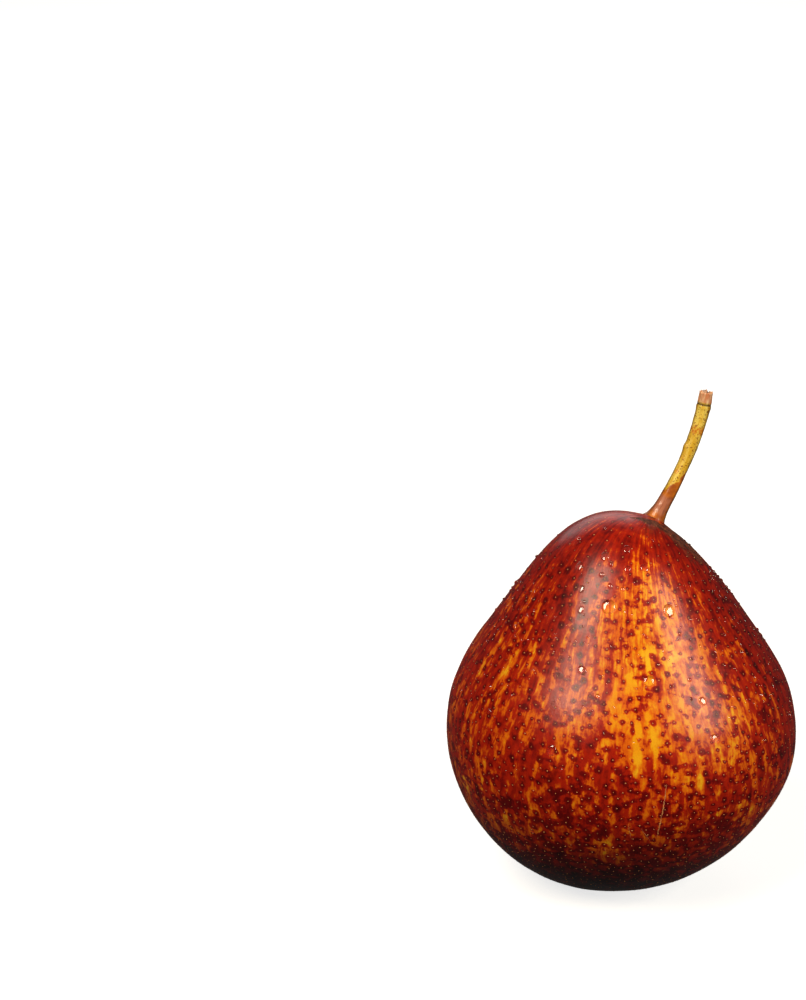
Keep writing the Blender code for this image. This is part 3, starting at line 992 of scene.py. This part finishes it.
def make_stem(material, rng):
    """The stem, with a bud, a scar ring and a torn end."""
    shares = np.linspace(0, 1, 400)
    curve = np.array([stem_point(share) for share in shares])
    lengths = np.concatenate([[0], np.cumsum(np.linalg.norm(np.diff(curve, axis=0), axis=1))])
    total = lengths[-1] - STEM_TORN
    buried = np.linspace(-STEM_BURIED, 0, STEM_BURIED_ROWS)[:-1]
    distance = np.concatenate([buried, np.linspace(0, total, STEM_ROWS - len(buried))])
    line = np.stack([np.interp(distance, lengths, curve[:, axis]) for axis in range(3)], 1)
    line += np.minimum(distance, 0)[:, None] * STEM_AXIS
    angles = np.arange(STEM_SIDES) * math.tau / STEM_SIDES
    d, phi = np.meshgrid(distance, angles, indexing="ij")
    scar = hill(d - (total - SCAR_BELOW_TIP), 0.00020)
    vertices, faces = tube_mesh(line, stem_radii(distance, angles, total, scar), STEM_SIDES, (0, 1, 0))
    vertices = np.array(vertices)

    # The torn end: its rim is ragged and its middle is sunk.
    ends = len(distance)
    ragged = np.array([noise.noise(Vector((math.cos(a) * 3.1, math.sin(a) * 3.1, 4.2))) for a in angles])
    for back in range(5):
        row = slice((ends - 1 - back) * STEM_SIDES, (ends - back) * STEM_SIDES)
        vertices[row, 2] += (0.00012 + 0.0005 * ragged) * (1 - back / 5) ** 1.5
    vertices[-1, 2] -= 0.00035
    vertices = list(vertices)

    # What the bark's colours follow, for each vertex of the tube, its two ends, and the fibres.
    fields = {
        "rise": [*np.clip(d / total, -0.1, 1).ravel(), -0.1, 1],
        "side": [*-np.cos(phi).ravel(), 0, 0],
        "torn": [*smooth_step(total - TORN_BELOW_TIP, total - 0.0015, d).ravel(), 0, 1],
        "scar_ring": [*(scar * 0.95).ravel(), 0, 0],
        "bark": [(math.cos(a) * MM, math.sin(a) * MM, s) for s in distance for a in angles] + [(0, 0, 0)] * 2,
    }
    for index in range(STEM_FIBRES):
        more, more_faces = stem_fibre(index, line[-1], rng)
        add_mesh(vertices, faces, more, more_faces)
        for name, value in (("rise", 1), ("side", 0), ("torn", 1), ("scar_ring", 0)):
            fields[name] += [value] * len(more)
        fields["bark"] += [tuple(point) for point in more]
    stem = new_piece("stalk", vertices, faces, material)
    for name, values in fields.items():
        store(stem.data, name, values)
    return stem


def make_scratches(finder, material, rng):
    """Thin healed scratches on the front: one long and two faint."""
    vertices, faces = [], []
    for start, end, thickness in SCRATCHES:
        line = []
        for step in range(SCRATCH_STEPS + 1):
            share = step / SCRATCH_STEPS
            turn = start[0] + (end[0] - start[0]) * share + rng.uniform(-0.12, 0.12)
            place, normal = on_skin(finder, turn, (start[1] + (end[1] - start[1]) * share) * MM)
            line.append(place - normal * thickness * MM * 0.35)
        taper = np.sin(np.linspace(0.08, math.pi - 0.08, SCRATCH_STEPS + 1)) ** 0.5
        wobble = np.array([rng.uniform(0.6, 1.3) for _ in line])
        add_mesh(vertices, faces, *tube_mesh(line, thickness * MM * taper * wobble, 8, (1, 0, 0)))
    return new_piece("healed_scratches", vertices, faces, material)


# Calyx


def make_sepal(index, material):
    """A dried calyx lobe: a pointed leaf, cupped, wrinkled and curled at its tip."""
    low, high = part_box(f"sepal_{index + 1}")
    turn = math.tau * (index + 0.3) / 5
    out = np.array((math.cos(turn), math.sin(turn), 0.0))
    across = np.array((-math.sin(turn), math.cos(turn), 0.0))
    rows, columns = 26, 13
    vertices = []
    for i in range(rows):
        along = i / (rows - 1)
        reach = 0.0013 + 0.0031 * along
        half = 0.00125 * (0.72 * (1 - along) + 1.5 * along * (1 - along)) + 0.00004
        for j in range(columns):
            share = 2 * j / (columns - 1) - 1
            crumple = noise.noise(Vector((along * 5, share * 2.2, index * 3.7)))
            level = high.z - 0.0002 - (high.z - low.z) * 0.80 * along**1.7
            level += 0.00022 * share * share + 0.00022 * crumple * (0.3 + along)
            width = half * share * (1 + 0.12 * noise.noise(Vector((along * 8, index * 2.1, 1.3))))
            place = CALYX_CENTRE + out * reach + across * width
            vertices.append((place[0], place[1], max(level, 0.00025)))
    faces = []
    for i in range(rows - 1):
        for j in range(columns - 1):
            a = i * columns + j
            faces.append((a, a + 1, a + columns + 1, a + columns))
    sepal = new_piece(f"dried_sepal_{index + 1}", vertices, faces, material)
    thickness = sepal.modifiers.new("thickness", "SOLIDIFY")
    thickness.thickness = 0.00018
    thickness.offset = 0.0
    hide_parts(f"sepal_{index + 1}")
    return sepal


def make_stamens(material, rng):
    """Dried stamens and styles: thin bent threads, most with a small shrivelled head."""
    low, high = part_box("stamen_tuft")
    vertices, faces = [], []
    for index in range(STAMEN_COUNT):
        turn = math.tau * index * GOLDEN_SHARE
        spread = 0.00090 * math.sqrt((index + 0.5) / STAMEN_COUNT)
        out = np.array((math.cos(turn), math.sin(turn), 0.0))
        start = CALYX_CENTRE + out * spread * 0.6
        start[2] = high.z + 0.0002
        drop = (high.z - low.z) * rng.uniform(0.75, 1.0)
        steps = np.linspace(0, 1, 12)[:, None]
        bend = out * rng.uniform(0.1, 0.6) * MM + np.append(rng.uniform(-0.25, 0.25, 2), 0) * MM
        line = start + bend * steps**2
        line[:, 2] -= drop * steps[:, 0]
        radii = np.full(12, 0.00009)
        if index % 4:
            radii[-4:] = (0.00010, 0.00020, 0.00022, 0.00010)
        add_mesh(vertices, faces, *tube_mesh(line, radii, 8, (0.3, 1, 0)))
    stamens = new_piece("dried_stamens", vertices, faces, material)
    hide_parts("stamen_tuft")
    return stamens


# The pear


def make_pear():
    """Every piece of the pear, in the order of the random draws."""
    rng = np.random.default_rng(11)
    places, faces, turn, along = skin_grid()
    skin = new_piece("skin", places, faces, skin_material())
    mesh = skin.data
    places = fit_to_fruit(roughen(points_of(mesh) + SHIFT, normals_of(mesh)))
    move_points(mesh, places)
    lenticels, facing = scatter_lenticels(mesh, rng)
    streak = np.stack([np.cos(turn) * BELLY_RADIUS, np.sin(turn) * BELLY_RADIUS, along], 1)
    names = ("halo", "near", "gap", "blush", "green", "russet", "streak")
    fields = (*halo_fields(places, lenticels, rng), *blush_field(places), russet_field(places), streak)
    for name, values in zip(names, fields):
        store(mesh, name, values)
    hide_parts("fruit")
    cork = cork_material()
    finder = BVHTree.FromPolygons([Vector(place) for place in places], [list(face) for face in faces])
    dots = make_lenticels(lenticels, facing, cork, rng)
    scratches = make_scratches(finder, cork, rng)
    drops = make_drops(finder, water_material(), rng)
    stalk = make_stem(stem_material(), rng)
    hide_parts("stem")
    leaf = dried_material("dried_sepal", srgb(46, 26, 16), srgb(112, 76, 46), 0.7)
    thread = dried_material("dried_stamens", srgb(60, 36, 20), srgb(140, 100, 62), 0.75)
    calyx = [make_sepal(index, leaf) for index in range(5)] + [make_stamens(thread, rng)]
    for piece in [skin, dots, scratches, drops, stalk, *calyx]:
        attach(piece, "root")


UPPER = upper_outline()
SHIFT = -np.array((0.00001, 0.000147, 0.0))  # centres the fruit, as in the CAD solid
STEM_FOOT = CROWN_LEAN + STEM_OFFSET + np.array((0, 0, crown_height(np.linalg.norm(STEM_OFFSET)))) + SHIFT
STEM_AXIS = STEM_RISE * STEM_LEAVING / np.linalg.norm(STEM_RISE * STEM_LEAVING)
CALYX_CENTRE = BASE_LEAN + SHIFT
make_pear()


# Stage, camera and light


def make_floor():
    """A pale floor that glows a little, so that it stays near white, and throws no light on the pear."""
    tree = Tree("pale_floor")
    tone = tree.noise(tree.place(), 0.35, 3.0)
    tree.set(Base_Color=tree.mix(tone, (0.53, 0.53, 0.53), (0.57, 0.57, 0.57)), Roughness=0.6)
    tree.set(Emission_Color=(1.0, 1.0, 1.0), Emission_Strength=0.76)
    corners = [(x * FLOOR_HALF, y * FLOOR_HALF, FLOOR_LEVEL) for x, y in ((-1, -1), (1, -1), (1, 1), (-1, 1))]
    floor = new_piece("floor", corners, [(0, 1, 2, 3)], tree.material, smooth=False)
    floor.visible_diffuse = False
    floor.visible_glossy = False
    floor.visible_transmission = False


def make_camera():
    """A long lens that looks down at the pear, in the right half of the picture."""
    data = bpy.data.cameras.new("camera")
    data.lens = LENS
    data.sensor_width = 36
    camera = bpy.data.objects.new("camera", data)
    camera.location = CAMERA_PLACE
    camera.rotation_euler = (math.radians(CAMERA_TILT), 0, 0)
    bpy.context.scene.collection.objects.link(camera)
    bpy.context.scene.camera = camera


def soft_box(name, direction, width, height, power, colour):
    """A soft box that looks at the pear. Its direction is (turn, elevation) in degrees."""
    turn, lift = (math.radians(value) for value in direction)
    away = Vector((math.sin(turn) * math.cos(lift), -math.cos(turn) * math.cos(lift), math.sin(lift)))
    data = bpy.data.lights.new(name, "AREA")
    data.shape = "RECTANGLE"
    data.size = width
    data.size_y = height
    data.energy = power
    data.color = colour
    lamp = bpy.data.objects.new(name, data)
    lamp.location = Vector(LAMP_AIM) + away * LAMP_DISTANCE
    lamp.rotation_euler = away.to_track_quat("Z", "Y").to_euler()
    lamp.visible_transmission = False
    lamp.visible_camera = False
    bpy.context.scene.collection.objects.link(lamp)


def make_light():
    """Three soft boxes in a dim room. The backdrop is pale to the camera alone."""
    world = bpy.data.worlds.new("surround")
    world.use_nodes = True
    nodes, links = world.node_tree.nodes, world.node_tree.links
    nodes["Background"].inputs["Color"].default_value = (1.0, 0.99, 0.97, 1.0)
    seen = nodes.new("ShaderNodeLightPath").outputs["Is Camera Ray"]
    strength = nodes.new("ShaderNodeMapRange")
    links.new(seen, strength.inputs["Value"])
    strength.inputs["To Min"].default_value = 0.04
    strength.inputs["To Max"].default_value = 0.92
    links.new(strength.outputs[0], nodes["Background"].inputs["Strength"])
    bpy.context.scene.world = world
    soft_box("key", (-45, 50), 0.36, 0.50, 7.3, (1.0, 0.87, 0.66))
    soft_box("fill", (58, 33), 0.42, 0.46, 5.3, (1.0, 0.91, 0.74))
    soft_box("back", (-172, 24), 0.70, 0.45, 1.5, (1.0, 0.93, 0.90))


make_floor()
make_camera()
make_light()
bpy.context.scene.view_settings.view_transform = "Standard"
